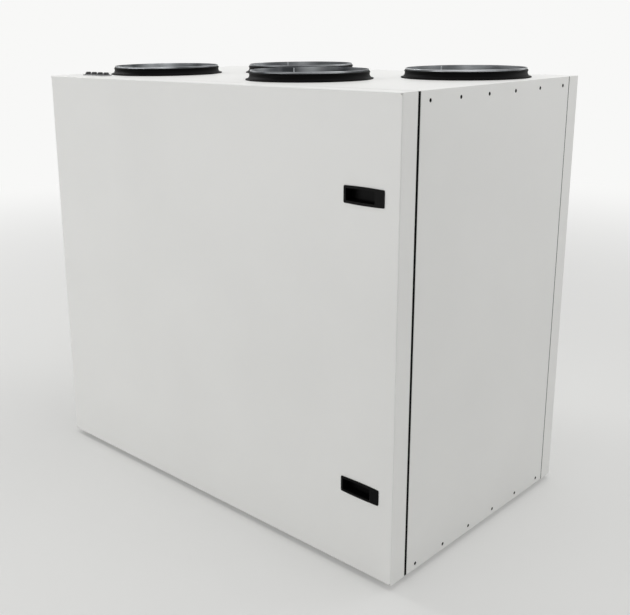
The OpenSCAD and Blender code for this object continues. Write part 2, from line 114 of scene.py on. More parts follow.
def fill_inputs(tree: Tree, node: bpy.types.Node, inputs: Inputs) -> None:
    """Fills or links a node's inputs.

    Args:
        tree: The tree that holds the node.
        node: The node.
        inputs: Values, or sockets to link from, by the input's name or number.
    """
    for key, value in inputs.items():
        if isinstance(value, Socket):
            tree.links.new(value, node.inputs[key])
        else:
            node.inputs[key].default_value = value


def add_node(tree: Tree, kind: str, inputs: Inputs | None = None, **settings: object) -> bpy.types.Node:
    """Adds a node with its settings, and fills or links its inputs.

    Args:
        tree: The tree that gets the node.
        kind: The node's type.
        inputs: Values, or sockets to link from, by the input's name or number.
        settings: The node's own properties.

    Returns:
        The new node.
    """
    node = tree.nodes.new(kind)
    for name, value in settings.items():
        setattr(node, name, value)
    fill_inputs(tree, node, inputs or {})
    return node


@dataclass(frozen=True)
class Finish:
    """A surface as it was made."""

    name: str
    colour: str
    roughness: float

    def material(self) -> bpy.types.Material:
        """Gives the finish's material, made on its first use."""
        if self.name in bpy.data.materials:
            return bpy.data.materials[self.name]
        made = bpy.data.materials.new(self.name)
        made.use_nodes = True
        made.diffuse_color = linear(self.colour)
        tree = made.node_tree
        shader = tree.nodes["Principled BSDF"]
        fill_inputs(tree, shader, {"Base Color": linear(self.colour), "Roughness": self.roughness})
        place = add_node(tree, "ShaderNodeTexCoord").outputs["Object"]
        fill_inputs(tree, shader, self.dress(tree, place))
        return made

    def dress(self, tree: Tree, place: Socket) -> Inputs:
        """Adds the surface's patterns, and gives the shader's inputs that they set."""
        raise NotImplementedError


@dataclass(frozen=True)
class PowderCoat(Finish):
    """Satin polyester powder, sprayed on folded sheet steel and baked."""

    shade: str = "#DFDFDD"
    gloss_spread: float = 0.05
    cloud_mm: float = 230.0
    wave_mm: float = 420.0
    wave_depth_mm: float = 0.5
    peel_mm: float = 7.0
    peel_depth_mm: float = 0.014

    def dress(self, tree: Tree, place: Socket) -> Inputs:
        """Adds faint clouds of tone and gloss, sheet waviness and orange peel.

        Args:
            tree: The material's nodes.
            place: Where on the piece the pattern is read.

        Returns:
            The shader's inputs that the patterns set.
        """
        # A sprayed coat gives the eye a soft, even sheen with a slight orange peel, and thin sheet
        # behind it is never quite flat. The real peel is 2 to 3 mm wide, too fine for the render.
        cloud = add_node(tree, "ShaderNodeTexNoise", {
            "Vector": place, "Scale": per_metre(self.cloud_mm), "Detail": 3.0}).outputs[0]
        tone = add_node(tree, "ShaderNodeMix", {
            0: cloud, 6: linear(self.shade), 7: linear(self.colour)}, data_type="RGBA")
        gloss = add_node(tree, "ShaderNodeMapRange", {
            "Value": cloud, "To Min": self.roughness - self.gloss_spread,
            "To Max": self.roughness + self.gloss_spread})
        wave = add_node(tree, "ShaderNodeTexNoise", {
            "Vector": place, "Scale": per_metre(self.wave_mm), "Detail": 0.0})
        peel = add_node(tree, "ShaderNodeTexNoise", {
            "Vector": place, "Scale": per_metre(self.peel_mm), "Detail": 1.0})
        bent = add_node(tree, "ShaderNodeBump", {
            "Height": wave.outputs[0], "Distance": self.wave_depth_mm * MM})
        relief = add_node(tree, "ShaderNodeBump", {
            "Height": peel.outputs[0], "Distance": self.peel_depth_mm * MM,
            "Normal": bent.outputs[0]})
        return {
            "Base Color": tone.outputs[2], "Roughness": gloss.outputs[0], "Normal": relief.outputs[0]}


@dataclass(frozen=True)
class Moulded(Finish):
    """Rubber or plastic out of a spark-eroded mould."""

    shade: str = "#020202"
    specular: float = 0.12
    bloom_mm: float = 40.0
    gloss_spread: float = 0.08
    grain_mm: float = 1.6
    grain_depth_mm: float = 0.03

    def dress(self, tree: Tree, place: Socket) -> Inputs:
        """Adds a faint bloom and the mould's grain.

        Args:
            tree: The material's nodes.
            place: Where on the piece the pattern is read.

        Returns:
            The shader's inputs that the patterns set.
        """
        # The eroded mould leaves a fine leathery grain that breaks up highlights, so the face is deep
        # and matt. The real grain is about half as wide, too fine to show.
        bloom = add_node(tree, "ShaderNodeTexNoise", {
            "Vector": place, "Scale": per_metre(self.bloom_mm), "Detail": 4.0}).outputs[0]
        tone = add_node(tree, "ShaderNodeMix", {
            0: bloom, 6: linear(self.shade), 7: linear(self.colour)}, data_type="RGBA")
        gloss = add_node(tree, "ShaderNodeMapRange", {
            "Value": bloom, "To Min": self.roughness - self.gloss_spread,
            "To Max": self.roughness + self.gloss_spread})
        grain = add_node(tree, "ShaderNodeTexVoronoi", {
            "Vector": place, "Scale": per_metre(self.grain_mm)}, feature="SMOOTH_F1")
        relief = add_node(tree, "ShaderNodeBump", {
            "Height": grain.outputs["Distance"], "Distance": self.grain_depth_mm * MM})
        return {
            "Specular IOR Level": self.specular, "Base Color": tone.outputs[2],
            "Roughness": gloss.outputs[0], "Normal": relief.outputs[0]}


@dataclass(frozen=True)
class Foam(Finish):
    """Foam of closed cells or fused beads."""

    joint: str = "#060606"
    specular: float = 0.15
    cell_mm: float = 4.0
    joint_share: float = 0.12
    cell_depth_mm: float = 0.25
    tone_spread: float = 0.2

    def dress(self, tree: Tree, place: Socket) -> Inputs:
        """Adds cells of slightly different tone with sunken joints.

        Args:
            tree: The material's nodes.
            place: Where on the piece the pattern is read.

        Returns:
            The shader's inputs that the patterns set.
        """
        # Fused beads show as a fine cobble of matt cells, each a little lighter or darker.
        edge = add_node(tree, "ShaderNodeTexVoronoi", {
            "Vector": place, "Scale": per_metre(self.cell_mm)}, feature="DISTANCE_TO_EDGE")
        bead = add_node(tree, "ShaderNodeTexVoronoi", {
            "Vector": place, "Scale": per_metre(self.cell_mm)})
        skin = add_node(tree, "ShaderNodeMapRange", {
            "Value": edge.outputs["Distance"], "From Max": self.joint_share})
        lightness = add_node(tree, "ShaderNodeMapRange", {
            "Value": bead.outputs["Color"],
            "To Min": 1.0 - self.tone_spread, "To Max": 1.0 + self.tone_spread})
        tint = add_node(tree, "ShaderNodeHueSaturation", {
            "Color": linear(self.colour), "Value": lightness.outputs[0]})
        tone = add_node(tree, "ShaderNodeMix", {
            0: skin.outputs[0], 6: linear(self.joint), 7: tint.outputs[0]}, data_type="RGBA")
        relief = add_node(tree, "ShaderNodeBump", {
            "Height": skin.outputs[0], "Distance": self.cell_depth_mm * MM})
        return {
            "Specular IOR Level": self.specular, "Base Color": tone.outputs[2],
            "Normal": relief.outputs[0]}


@dataclass(frozen=True)
class ZincSheet(Finish):
    """Hot-dip zinc-coated steel sheet."""

    shade: str = "#A9ADB0"
    spangle_mm: float = 8.0
    gloss_spread: float = 0.06
    streak_mm: float = 60.0
    streak_stretch: float = 9.0
    streak_share: float = 0.6
    streak_detail: float = 4.0
    contrast: float = 1.0

    def dress(self, tree: Tree, place: Socket) -> Inputs:
        """Adds spangle and the streaks of the rolled strip.

        Args:
            tree: The material's nodes.
            place: Where on the piece the pattern is read.

        Returns:
            The shader's inputs that the patterns set.
        """
        # Zinc freezes in flat crystals, so each spangle throws back a slightly different light,
        # crossed by long faint streaks from the coating bath.
        spangle = add_node(tree, "ShaderNodeTexVoronoi", {
            "Vector": place, "Scale": per_metre(self.spangle_mm)}).outputs["Color"]
        strip = add_node(tree, "ShaderNodeMapping", {
            "Vector": place, "Scale": (1.0, 1.0, 1.0 / self.streak_stretch)})
        streak = add_node(tree, "ShaderNodeTexNoise", {
            "Vector": strip.outputs[0], "Scale": per_metre(self.streak_mm),
            "Detail": self.streak_detail})
        mottle = add_node(tree, "ShaderNodeMix", {
            0: self.streak_share, 2: spangle, 3: streak.outputs[0]}, data_type="FLOAT")
        blend = add_node(tree, "ShaderNodeMapRange", {
            "Value": mottle.outputs[0], "From Min": 0.5 - 0.5 / self.contrast,
            "From Max": 0.5 + 0.5 / self.contrast}).outputs[0]
        tone = add_node(tree, "ShaderNodeMix", {
            0: blend, 6: linear(self.shade), 7: linear(self.colour)}, data_type="RGBA")
        gloss = add_node(tree, "ShaderNodeMapRange", {
            "Value": blend, "To Min": self.roughness + self.gloss_spread,
            "To Max": self.roughness - self.gloss_spread})
        return {"Metallic": 1.0, "Base Color": tone.outputs[2], "Roughness": gloss.outputs[0]}


@dataclass(frozen=True)
class PlatePack(Finish):
    """Thin bare aluminium plates, stacked with small gaps."""

    # Painted shade of the air gaps between the plates
    gap: str = "#3A3C3E"
    pitch_mm: float = 4.0
    plate_depth_mm: float = 0.6

    def dress(self, tree: Tree, place: Socket) -> Inputs:
        """Adds the plates' edges as bands, with painted shade between them.

        Args:
            tree: The material's nodes.
            place: Where on the piece the pattern is read.

        Returns:
            The shader's inputs that the patterns set.
        """
        # The plates' cut edges read as fine bright lines over painted shade in the air gaps.
        bands = add_node(tree, "ShaderNodeTexWave", {
            "Vector": place, "Scale": wave_scale(self.pitch_mm)}, bands_direction="Y").outputs[1]
        tone = add_node(tree, "ShaderNodeMix", {
            0: bands, 6: linear(self.gap), 7: linear(self.colour)}, data_type="RGBA")
        relief = add_node(tree, "ShaderNodeBump", {
            "Height": bands, "Distance": self.plate_depth_mm * MM})
        return {"Metallic": 1.0, "Base Color": tone.outputs[2], "Normal": relief.outputs[0]}


@dataclass(frozen=True)
class Fibrous(Finish):
    """Pressed or twisted fibre, such as a filter's fleece in its board frame, or thread."""

    shade: str = "#B9B2A0"
    fibre_mm: float = 3.0
    fibre_stretch: float = 6.0
    fibre_depth_mm: float = 0.12

    def dress(self, tree: Tree, place: Socket) -> Inputs:
        """Adds fibres that lie along the piece.

        Args:
            tree: The material's nodes.
            place: Where on the piece the pattern is read.

        Returns:
            The shader's inputs that the patterns set.
        """
        # Board, fleece and thread are matt and slightly hairy, with fibres that mostly lie one way.
        lay = add_node(tree, "ShaderNodeMapping", {
            "Vector": place, "Scale": (1.0, 1.0, 1.0 / self.fibre_stretch)})
        fibre = add_node(tree, "ShaderNodeTexNoise", {
            "Vector": lay.outputs[0], "Scale": per_metre(self.fibre_mm), "Detail": 5.0,
            "Roughness": 0.65}).outputs[0]
        tone = add_node(tree, "ShaderNodeMix", {
            0: fibre, 6: linear(self.shade), 7: linear(self.colour)}, data_type="RGBA")
        relief = add_node(tree, "ShaderNodeBump", {
            "Height": fibre, "Distance": self.fibre_depth_mm * MM})
        return {"Base Color": tone.outputs[2], "Normal": relief.outputs[0]}


@dataclass(frozen=True)
class Webbing(Finish):
    """Plain-woven polypropylene webbing."""

    # Painted shade between the thread crossings
    shade: str = "#050505"
    warp_mm: float = 2.5
    weft_mm: float = 2.0
    thread_depth_mm: float = 0.35
    sheen: float = 0.2

    def dress(self, tree: Tree, place: Socket) -> Inputs:
        """Adds warp threads along the strap, crossed by the weft, with painted highlights where they cross.

        Args:
            tree: The material's nodes.
            place: Where on the piece the pattern is read.

        Returns:
            The shader's inputs that the patterns set.
        """
        # Flat shiny threads pass over and under each other: the weave is painted as tone, a painted highlight
        # where threads cross over painted shade between them.
        warp, weft = (
            add_node(tree, "ShaderNodeTexWave", {
                "Vector": place, "Scale": wave_scale(pitch)}, bands_direction=axis).outputs[1]
            for pitch, axis in ((self.warp_mm, "X"), (self.weft_mm, "Z")))
        weave = add_node(tree, "ShaderNodeMath", {0: warp, 1: weft}, operation="MULTIPLY").outputs[0]
        tone = add_node(tree, "ShaderNodeMix", {
            0: weave, 6: linear(self.shade), 7: linear(self.colour)}, data_type="RGBA")
        relief = add_node(tree, "ShaderNodeBump", {
            "Height": weave, "Distance": self.thread_depth_mm * MM})
        return {
            "Sheen Weight": self.sheen, "Base Color": tone.outputs[2], "Normal": relief.outputs[0]}


@dataclass(frozen=True)
class PlatedSteel(Finish):
    """Cold-headed steel with a thin plated coat, as on screws and rivets."""

    shade: str = "#6E7174"
    worn_mm: float = 2.0

    def dress(self, tree: Tree, place: Socket) -> Inputs:
        """Adds the mottled coat of barrel plating.

        Args:
            tree: The material's nodes.
            place: Where on the piece the pattern is read.

        Returns:
            The shader's inputs that the patterns set.
        """
        # Heads knock together in the plating barrel, so the coat is slightly mottled.
        mottle = add_node(tree, "ShaderNodeTexNoise", {
            "Vector": place, "Scale": per_metre(self.worn_mm), "Detail": 2.0})
        tone = add_node(tree, "ShaderNodeMix", {
            0: mottle.outputs[0], 6: linear(self.shade), 7: linear(self.colour)}, data_type="RGBA")
        return {"Metallic": 1.0, "Base Color": tone.outputs[2]}


class Surface(Enum):
    """The unit's finishes."""

    POWDER_COAT = PowderCoat("satin_powder_coat", "#E6E6E4", 0.42)
    RUBBER = Moulded("moulded_epdm_rubber", "#050505", 0.55, specular=0.06)
    BLACK_PLASTIC = Moulded("grained_black_polyamide", "#050505", 0.5, specular=0.07)
    GROMMET_RUBBER = Moulded("moulded_grey_grommet_rubber", "#4A4A4C", 0.5, shade="#363638", specular=0.3)
    GREY_PLASTIC = Moulded("moulded_grey_polypropylene", "#B4B5B5", 0.45, shade="#A6A7A7", specular=0.5)
    FOAM_STRIP = Foam(
        "closed_cell_rubber_strip", "#070707", 0.85, joint="#020202", specular=0.05, cell_mm=1.8,
        cell_depth_mm=0.1)
    PARTICLE_FOAM = Foam("fused_particle_foam", "#3B3C3F", 0.8, joint="#26272A", specular=0.3)
    ZINC_SHEET = ZincSheet("spangled_zinc_sheet", "#C3C7CA", 0.36)
    # Dark shade and strong streak contrast: the zinc's own streaks, plus painted reflection of a dim room
    COLLAR_ZINC = ZincSheet(
        "rolled_zinc_collar", "#BCBFC2", 0.34, shade="#46494C", spangle_mm=6.0, streak_mm=85.0,
        streak_share=0.97, streak_detail=1.0, contrast=2.4)
    BOX_ZINC = ZincSheet("chromated_zinc_sheet", "#A4A8AB", 0.6, shade="#909498")
    PLATE_PACK = PlatePack("aluminium_plate_pack", "#D0D3D5", 0.3)
    FILTER_BOARD = Fibrous("filter_board_and_fleece", "#D9D4C6", 0.9)
    WEBBING = Webbing("woven_polypropylene_webbing", "#1C1C1E", 0.6)
    THREAD = Fibrous(
        "bonded_polyester_thread", "#6A6A6E", 0.6, shade="#47474A", fibre_mm=0.6, fibre_depth_mm=0.05)
    ZINC_SCREW = PlatedSteel("bright_zinc_plated_steel", "#C9CCCE", 0.28)
    BLACK_SCREW = PlatedSteel("black_zinc_plated_steel", "#0E0E0F", 0.5, shade="#050505")
    # Painted shade for the inside of every screw socket, also on the bright plated screws
    SOCKET = Moulded("blackened_screw_socket", "#030303", 0.7)

    def material(self) -> bpy.types.Material:
        """Gives the finish's material."""
        return self.value.material()


SLOT_SURFACE = {
    "white_powder_coat": Surface.POWDER_COAT,
    "black_rubber": Surface.RUBBER,
    "black_foam_rubber": Surface.FOAM_STRIP,
    "galvanised_steel": Surface.ZINC_SHEET,
    "grey_plastic": Surface.GREY_PLASTIC,
    "grey_foam": Surface.PARTICLE_FOAM,
    "aluminium_plates": Surface.PLATE_PACK,
    "black_webbing": Surface.WEBBING,
    "filter_fleece": Surface.FILTER_BOARD,
    "black_plastic": Surface.BLACK_PLASTIC,
}
# The collars' darker, streaky tone is partly the zinc's own streaks and partly painted reflection of a
# dim room, the control box's chromated sheet is matt, and the grommets' rubber is paler
NODE_SURFACE = {
    "control_box": Surface.BOX_ZINC,
    "cable_grommets": Surface.GROMMET_RUBBER,
    **{spigot + "_collar": Surface.COLLAR_ZINC for spigot in SPIGOTS},
}


def node_material(node: str) -> bpy.types.Material:
    """Gives a CAD node's own finish, or else its slot's."""
    return NODE_SURFACE.get(node, SLOT_SURFACE[NODE_SLOT[node]]).material()


def middle(node: str) -> Vector:
    """Gives the middle of a CAD node's box."""
    low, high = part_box(node)
    return (low + high) / 2.0


def link_object(name: str, data: bpy.types.ID) -> bpy.types.Object:
    """Puts a new object with its data in the scene.

    Args:
        name: The object's name.
        data: Its mesh, lamp or camera.

    Returns:
        The new object.
    """
    made = bpy.data.objects.new(name, data)
    bpy.context.scene.collection.objects.link(made)
    return made


def add_piece(name: str, mesh: bpy.types.Mesh, body: Body) -> bpy.types.Object:
    """Puts a finished mesh on a body.

    Args:
        name: The piece's name.
        mesh: Its mesh, with its place and its materials.
        body: The body that it rides on.

    Returns:
        The new piece.
    """
    mesh.name = name
    piece = link_object(name, mesh)
    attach(piece, body.value)
    LOG.info("%s: %d faces on the %s", name, len(mesh.polygons), body.value)
    return piece


def plain_mesh(host: bpy.types.Object) -> bpy.types.Mesh:
    """Turns an object with live modifiers into a plain mesh.

    Args:
        host: The object, which is used up with its own mesh.

    Returns:
        The mesh with its modifiers applied.
    """
    graph = bpy.context.evaluated_depsgraph_get()
    mesh = bpy.data.meshes.new_from_object(host.evaluated_get(graph), depsgraph=graph)
    host.modifiers.clear()
    raw = host.data
    bpy.data.objects.remove(host)
    bpy.data.meshes.remove(raw)
    return mesh


def smooth(mesh: bpy.types.Mesh) -> None:
    """Shades a mesh smooth between its sharp edges."""
    mesh.shade_smooth()
    mesh.set_sharp_from_angle(angle=math.radians(SHARP_DEG))


def shaded(form: Form, material: bpy.types.Material) -> bpy.types.Mesh:
    """Turns a form into a mesh with round edges shaded smooth and large faces kept flat.

    Args:
        form: The form, which is used up.
        material: Its finish.

    Returns:
        The mesh, with its material.
    """
    raw = bpy.data.meshes.new("raw")
    form.to_mesh(raw)
    form.free()
    raw.materials.append(material)
    smooth(raw)
    host = link_object("host", raw)
    host.modifiers.new("flat_faces", "WEIGHTED_NORMAL").keep_sharp = True
    return plain_mesh(host)


def stand_in(node: str, ending: str, form: Form, body: Body) -> None:
    """Shows a form in a CAD node's place with the node's finish, and hides the node."""
    piece = add_piece(node + ending, shaded(form, node_material(node)), body)
    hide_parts(node)


def loft(rings: Sequence[Sequence[Vector]]) -> Form:
    """Joins closed outlines into one solid with flat ends.

    Args:
        rings: The outlines in order, each with as many points.

    Returns:
        The closed form.
    """
    form = bmesh.new()
    rows = [[form.verts.new(point) for point in ring] for ring in rings]
    for row, after in zip(rows, rows[1:]):
        for i in range(len(row)):
            j = (i + 1) % len(row)
            form.faces.new((row[i], row[j], after[j], after[i]))
    form.faces.new(rows[0])
    form.faces.new(rows[-1])
    bmesh.ops.recalc_face_normals(form, faces=form.faces)
    return form


def upright(outline_mm: Points, bottom: float, top: float) -> Form:
    """Raises an outline seen from above into a bar between two heights in metres."""
    return loft([[Vector((x * MM, y * MM, z)) for x, y in outline_mm] for z in (bottom, top)])


def welded(node: str) -> Form:
    """Copies a CAD node's loose triangles, and joins them at their corners."""
    form = bmesh.new()
    form.from_mesh(frame["nodes"][node].data)
    bmesh.ops.remove_doubles(form, verts=form.verts, dist=WELD_MM * MM)
    return form


@dataclass(frozen=True)
class Seat:
    """A place for a small repeated piece, and the way that it faces."""

    place: Vector
    facing: Vector


def seat_row(first: Vector, last: Vector, count: int, facing: Vector) -> list[Seat]:
    """Spaces seats evenly from the first place to the last, all facing one way."""
    return [Seat(first.lerp(last, i / (count - 1)), facing) for i in range(count)]


def seat_ring(centre: Vector, radius: float, count: int, start_deg: float) -> list[Seat]:
    """Spaces seats round a circle that faces the door, from an angle off its right-hand side."""
    angles = sweep(start_deg, start_deg + 360.0, count)[:-1]
    return [Seat(centre + Vector((math.cos(a), 0.0, math.sin(a))) * radius, FORWARD) for a in angles]


@dataclass
class Repeated:
    """Copies of one small shape, one on each seat, made by Geometry Nodes. Its sizes are in mm."""

    surface: Surface
    seed: int = 7
    sizes: ClassVar[tuple[str, ...]] = ()
    marks: ClassVar[tuple[str, ...]] = ("facing", "socket")

    def shape(self, tree: Tree, size: dict[str, Socket]) -> Socket:
        """Draws the shape that repeats from the tree's named sizes."""
        raise NotImplementedError

    def tree(self) -> Tree:
        """Builds the tree that puts one shape on every point."""
        tree = bpy.data.node_groups.new(type(self).__name__, "GeometryNodeTree")
        given_kinds = {"Geometry": "Geometry", **dict.fromkeys(self.sizes, "Float"), "seed": "Int"}
        for name, kind in given_kinds.items():
            tree.interface.new_socket(name, in_out="INPUT", socket_type="NodeSocket" + kind)
        tree.interface.new_socket("Geometry", in_out="OUTPUT", socket_type="NodeSocketGeometry")
        given = add_node(tree, "NodeGroupInput").outputs
        facing = add_node(tree, "GeometryNodeInputNamedAttribute", {
            "Name": "facing"}, data_type="FLOAT_VECTOR")
        turned = add_node(tree, "FunctionNodeAlignRotationToVector", {
            "Vector": facing.outputs[0]}, axis="Z")
        chance = add_node(tree, "FunctionNodeRandomValue", {
            3: math.tau, "Seed": given["seed"]}, data_type="FLOAT")
        spin = add_node(tree, "FunctionNodeAxisAngleToRotation", {
            "Axis": UPWARD, "Angle": chance.outputs[1]})
        spun = add_node(tree, "FunctionNodeRotateRotation", {
            "Rotation": turned.outputs[0], "Rotate By": spin.outputs[0]}, rotation_space="LOCAL")
        copies = add_node(tree, "GeometryNodeInstanceOnPoints", {
            "Points": given["Geometry"], "Rotation": spun.outputs[0],
            "Instance": self.shape(tree, {name: given[name] for name in self.sizes})})
        real = add_node(tree, "GeometryNodeRealizeInstances", {"Geometry": copies.outputs[0]})
        coated = add_node(tree, "GeometryNodeSetMaterial", {
            "Geometry": real.outputs[0], "Material": self.surface.material()})
        # The socket's faces get the near-black painted shade of the recess
        sunk = add_node(tree, "GeometryNodeInputNamedAttribute", {"Name": "socket"}, data_type="BOOLEAN")
        dark = add_node(tree, "GeometryNodeSetMaterial", {
            "Geometry": coated.outputs[0], "Selection": sunk.outputs[0],
            "Material": Surface.SOCKET.material()})
        add_node(tree, "NodeGroupOutput", {"Geometry": dark.outputs[0]})
        return tree

    def spread(self, name: str, seats: Sequence[Seat], body: Body, slot: str) -> None:
        """Makes one piece with the shape on every seat.

        Args:
            name: The piece's name.
            seats: Where the copies sit.
            body: The body that they ride on.
            slot: The record's slot that their finish stands for; not used.
        """
        points = bpy.data.meshes.new(name + "_seats")
        points.from_pydata([seat.place for seat in seats], [], [])
        facing = points.attributes.new("facing", "FLOAT_VECTOR", "POINT")
        for i, seat in enumerate(seats):
            facing.data[i].vector = seat.facing
        host = link_object(name + "_seats", points)
        modifier = host.modifiers.new("copies", "NODES")
        modifier.node_group = self.tree()
        for item in modifier.node_group.interface.items_tree:
            if item.name in self.sizes:
                modifier[item.identifier] = getattr(self, item.name) * MM
            elif item.name == "seed":
                modifier[item.identifier] = self.seed
        mesh = plain_mesh(host)
        for mark in self.marks:
            if mark in mesh.attributes:
                mesh.attributes.remove(mesh.attributes[mark])
        smooth(mesh)
        add_piece(name, mesh, body)


@dataclass
class Screw(Repeated):
    """A screw with a low domed head and a hexagon socket."""

    head_radius: float = 3.6
    head_height: float = 1.8
    socket_radius: float = 1.7
    socket_depth: float = 1.1
    sides: int = 24
    socket_sides: int = 6
    # Each step raises the top by a share of the head's height and narrows it, which makes the dome
    dome_steps: tuple[tuple[float, float], ...] = ((0.25, 0.93), (0.25, 0.78))
    sizes: ClassVar[tuple[str, ...]] = ("head_radius", "head_height", "socket_radius", "socket_depth")

    def shape(self, tree: Tree, size: dict[str, Socket]) -> Socket:
        """Draws the head from a short round, raised in steps and sunk to a hexagon.

        Args:
            tree: The tree that draws it.
            size: The tree's named sizes.

        Returns:
            The socket with the head's geometry.
        """
        stock = add_node(tree, "GeometryNodeMeshCylinder", {
            "Vertices": self.sides, "Radius": size["head_radius"], "Depth": size["head_height"]})
        geometry, top = stock.outputs["Mesh"], stock.outputs["Top"]
        for rise_share, narrow in self.dome_steps:
            rise = add_node(tree, "ShaderNodeMath", {
                0: size["head_height"], 1: rise_share}, operation="MULTIPLY")
            raised = add_node(tree, "GeometryNodeExtrudeMesh", {
                "Mesh": geometry, "Selection": top, "Offset Scale": rise.outputs[0], "Individual": False})
            top = raised.outputs["Top"]
            geometry = add_node(tree, "GeometryNodeScaleElements", {
                "Geometry": raised.outputs["Mesh"], "Selection": top, "Scale": narrow}).outputs[0]
        rim = add_node(tree, "GeometryNodeExtrudeMesh", {
            "Mesh": geometry, "Selection": top, "Offset Scale": 0.0, "Individual": False})
        # The rim's round is drawn in to a hexagon: a flat lies nearer the middle than a corner
        side_turn = math.tau / self.socket_sides
        where = add_node(tree, "ShaderNodeSeparateXYZ", {
            0: add_node(tree, "GeometryNodeInputPosition").outputs[0]}).outputs
        angle = add_node(tree, "ShaderNodeMath", {0: where["Y"], 1: where["X"]}, operation="ARCTAN2")
        sector = add_node(tree, "ShaderNodeMath", {
            0: angle.outputs[0], 1: side_turn}, operation="FLOORED_MODULO")
        offset = add_node(tree, "ShaderNodeMath", {
            0: sector.outputs[0], 1: side_turn / 2.0}, operation="SUBTRACT")
        cosine = add_node(tree, "ShaderNodeMath", {0: offset.outputs[0]}, operation="COSINE")
        flat = add_node(tree, "ShaderNodeMath", {
            0: math.cos(side_turn / 2.0), 1: cosine.outputs[0]}, operation="DIVIDE")
        reach = add_node(tree, "ShaderNodeMath", {
            0: flat.outputs[0], 1: size["socket_radius"]}, operation="MULTIPLY")
        across = add_node(tree, "ShaderNodeCombineXYZ", {"X": where["X"], "Y": where["Y"]})
        spoke = add_node(tree, "ShaderNodeVectorMath", {0: across.outputs[0]}, operation="NORMALIZE")
        corner = add_node(tree, "ShaderNodeVectorMath", {
            0: spoke.outputs[0], "Scale": reach.outputs[0]}, operation="SCALE")
        height = add_node(tree, "ShaderNodeCombineXYZ", {"Z": where["Z"]})
        level = add_node(tree, "ShaderNodeVectorMath", {
            0: corner.outputs[0], 1: height.outputs[0]}, operation="ADD")
        hexagon = add_node(tree, "GeometryNodeSetPosition", {
            "Geometry": rim.outputs["Mesh"], "Selection": rim.outputs["Top"],
            "Position": level.outputs[0]})
        depth = add_node(tree, "ShaderNodeMath", {
            0: size["socket_depth"], 1: -1.0}, operation="MULTIPLY")
        bored = add_node(tree, "GeometryNodeExtrudeMesh", {
            "Mesh": hexagon.outputs[0], "Selection": rim.outputs["Top"],
            "Offset Scale": depth.outputs[0], "Individual": False})
        # Marks the socket's faces, which the tree gives a painted shade
        inside = add_node(tree, "FunctionNodeBooleanMath", {
            0: bored.outputs["Top"], 1: bored.outputs["Side"]}, operation="OR")
        return add_node(tree, "GeometryNodeStoreNamedAttribute", {
            "Geometry": bored.outputs["Mesh"], "Name": "socket", "Value": inside.outputs[0]},
            data_type="BOOLEAN", domain="FACE").outputs[0]


@dataclass
class Stitch(Repeated):
    """One stitch of thick thread, which lies along its seat's facing."""

    thread_radius: float = 0.55
    half_length: float = 1.5
    segments: int = 10
    rings: int = 6
    sizes: ClassVar[tuple[str, ...]] = ("thread_radius", "half_length")

    def shape(self, tree: Tree, size: dict[str, Socket]) -> Socket:
        """Draws the stitch as a drawn-out round.

        Args:
            tree: The tree that draws it.
            size: The tree's named sizes.

        Returns:
            The socket with the stitch's geometry.
        """
        ball = add_node(tree, "GeometryNodeMeshUVSphere", {
            "Segments": self.segments, "Rings": self.rings, "Radius": 1.0})
        stretch = add_node(tree, "ShaderNodeCombineXYZ", {
            "X": size["thread_radius"], "Y": size["thread_radius"], "Z": size["half_length"]})
        return add_node(tree, "GeometryNodeTransform", {
            "Geometry": ball.outputs[0], "Scale": stretch.outputs[0]}).outputs[0]


@dataclass
class Eased:
    """A CAD piece with its sharp edges rounded, as moulding or deburring leaves them."""

    node: str
    body: Body
    radius_mm: float
    steps: int = 3
    ring: bool = False
    flat_deg: float = 0.2

    def build(self) -> None:
        """Makes the rounded copy, and puts it in the CAD piece's place."""
        form = welded(self.node)
        # A ring's flat faces stay cut up, because one face can't go round a hole
        if not self.ring:
            bmesh.ops.dissolve_limit(
                form, angle_limit=math.radians(self.flat_deg), verts=form.verts, edges=form.edges)
        sharp_angle = math.radians(SHARP_DEG)
        sharp = [e for e in form.edges if e.is_manifold and e.calc_face_angle() > sharp_angle]
        bmesh.ops.bevel(
            form, geom=sharp, offset=self.radius_mm * MM, offset_type="OFFSET", segments=self.steps,
            profile=0.5, affect="EDGES", clamp_overlap=True)
        bmesh.ops.dissolve_degenerate(form, dist=WELD_MM * MM, edges=form.edges)
        bmesh.ops.triangulate(form, faces=[f for f in form.faces if len(f.verts) > 4])
        stand_in(self.node, "_eased", form, self.body)


class Hand(Enum):
    """The cabinet's sides, by the sign of the way that they face along X."""

    LEFT = -1.0
    RIGHT = 1.0

    def node(self, piece: str) -> str:
        """Names the side's own piece."""
        return f"{self.name.lower()}_{piece}"

    def faces_mm(self, node: str) -> tuple[float, float]:
        """Gives where a node's outer and inner faces lie along X."""
        low, high = (corner.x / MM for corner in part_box(node))
        return (low, high) if self is Hand.LEFT else (high, low)


